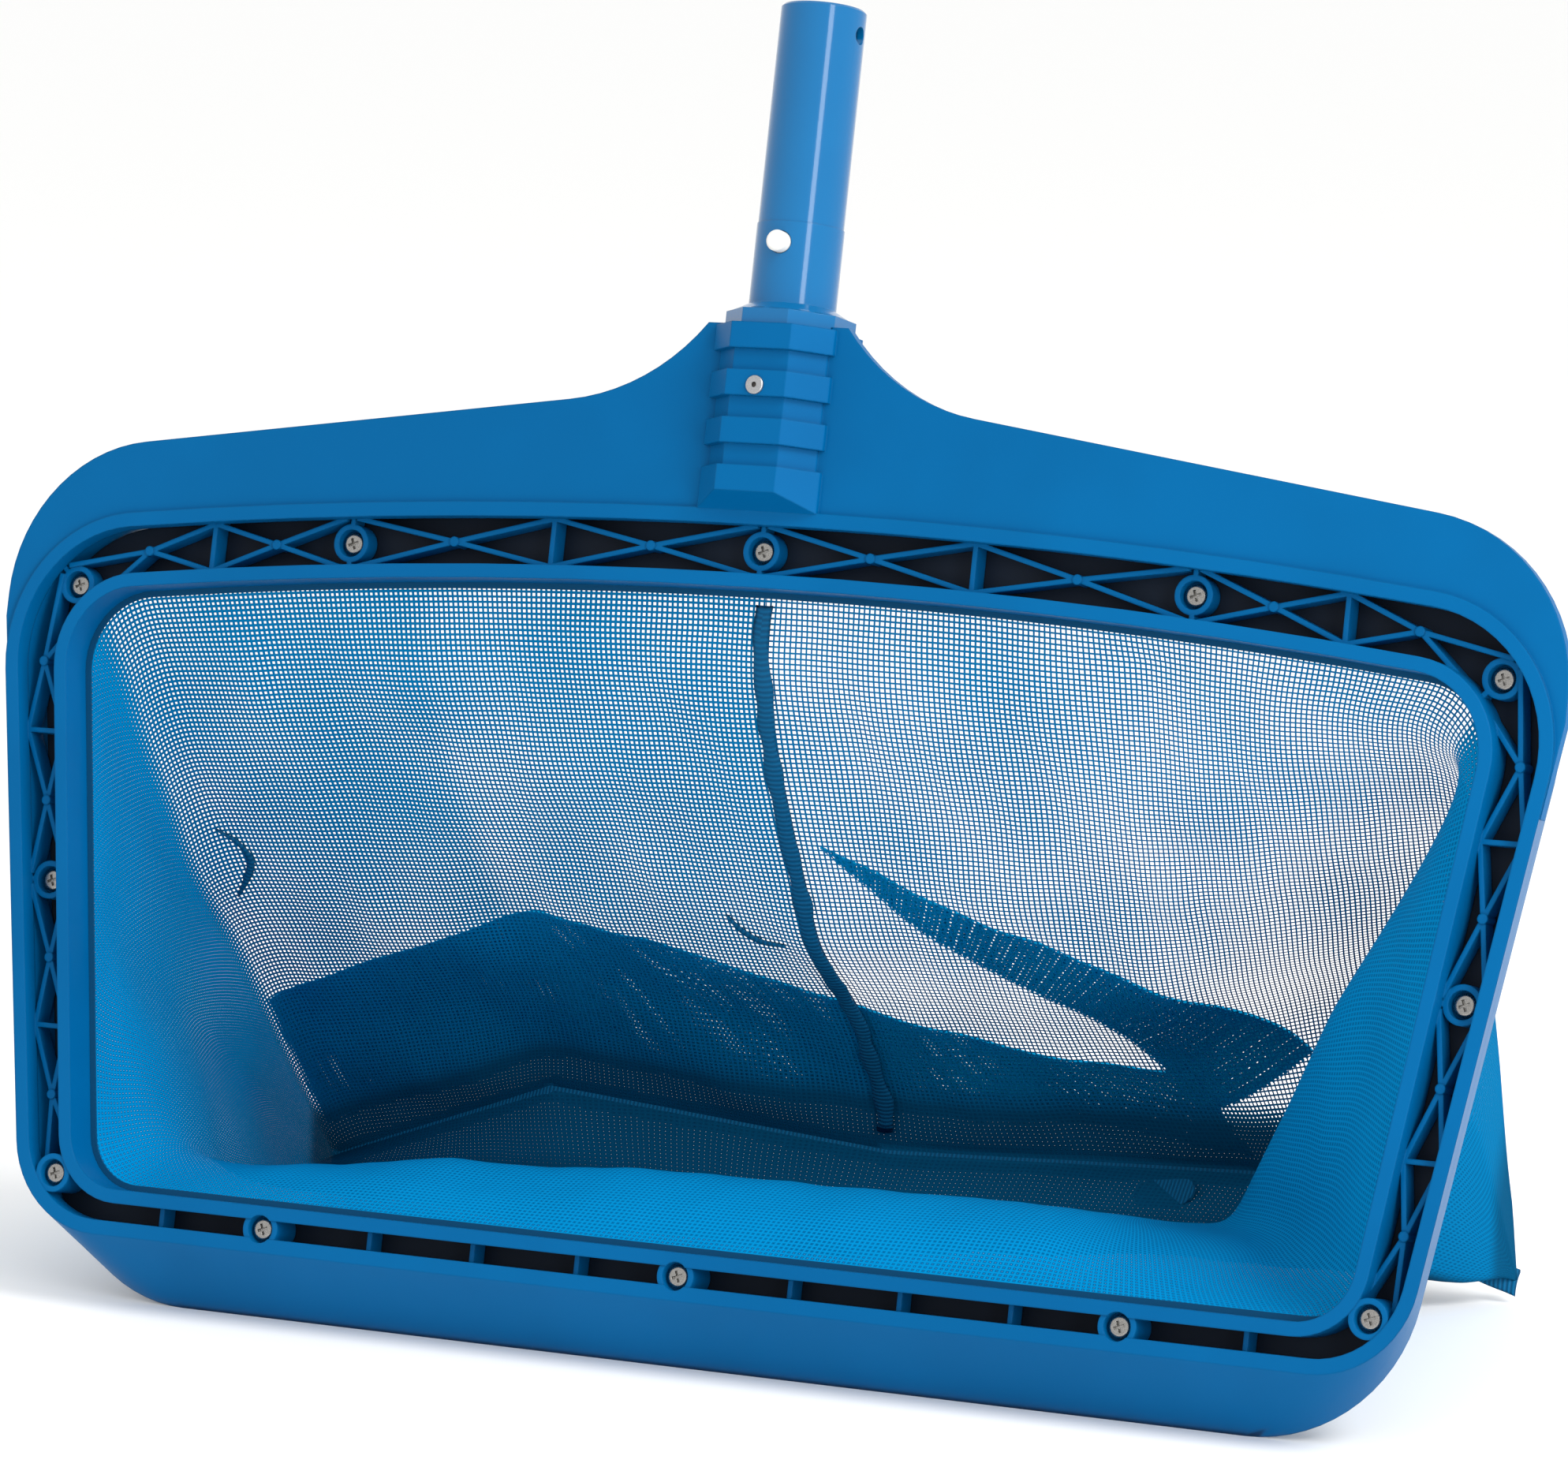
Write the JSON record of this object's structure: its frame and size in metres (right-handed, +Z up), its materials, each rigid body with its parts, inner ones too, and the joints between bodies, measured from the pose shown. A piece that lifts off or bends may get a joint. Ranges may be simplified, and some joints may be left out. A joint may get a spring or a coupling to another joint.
{
  "type": "leaf skimmer net",
  "caption": "Deep-bag leaf net head for a pool pole: wide ribbed rim with a hood and scoop lip, clamped mesh bag, ridged socket and a hollow snap-button spigot.",
  "frame": {"origin": "middle of the base of the overall box, on the surface the head stands on", "axes": "+X across the mouth to the right, +Y from the mouth back into the bag, +Z up; the handle leans back"},
  "size_m": [0.57, 0.2246, 0.445],
  "materials": {
    "blue_frame": "fine-grained blue polypropylene",
    "blue_handle": "glossy blue moulding",
    "dark_ring": "dark navy moulding",
    "white_clip": "white acetal",
    "screw_steel": "bright stainless steel",
    "rivet_metal": "aluminium blind rivet",
    "mandrel_steel": "broken steel stem",
    "hem_fabric": "folded blue polyester",
    "blue_mesh": "open blue polyester mesh"
  },
  "bodies": {
    "net_head": {"front_frame": "blue_frame", "clamp_ring": "dark_ring", "handle_spigot": "blue_handle", "clip_spring": "white_clip", "socket_rivet": "rivet_metal", "rivet_mandrel": "mandrel_steel", "bag_hem": "hem_fabric", "bag_centre_seam": "hem_fabric", "bag_end_tape": "hem_fabric", "bag_end_tab": "hem_fabric", "bag_top_right_panel": "blue_mesh", "bag_top_left_panel": "blue_mesh", "bag_bottom_panel": "blue_mesh", "bag_left_panel": "blue_mesh", "bag_right_panel": "blue_mesh", "screw_top_middle": "screw_steel", "screw_bottom_middle": "screw_steel", "screw_top_right": "screw_steel", "screw_top_left": "screw_steel", "screw_top_corner_right": "screw_steel", "screw_top_corner_left": "screw_steel", "screw_side_right": "screw_steel", "screw_side_left": "screw_steel", "screw_bottom_corner_right": "screw_steel", "screw_bottom_corner_left": "screw_steel", "screw_bottom_right": "screw_steel", "screw_bottom_left": "screw_steel"},
    "front_button": {"front_snap_button": "white_clip"},
    "rear_button": {"rear_snap_button": "white_clip"}
  },
  "joints": [
    {"name": "front_button_press", "type": "slide", "parent": "net_head", "child": "front_button", "axis": [0, 0.9703, -0.2419], "range_m": [0, 0.0042], "stiffness_N_per_m": 2500, "springref_m": -0.002, "deforming": ["clip_spring"]},
    {"name": "rear_button_press", "type": "slide", "parent": "net_head", "child": "rear_button", "axis": [0, -0.9703, 0.2419], "range_m": [0, 0.0042], "stiffness_N_per_m": 2500, "springref_m": -0.002, "deforming": ["clip_spring"]}
  ]
}
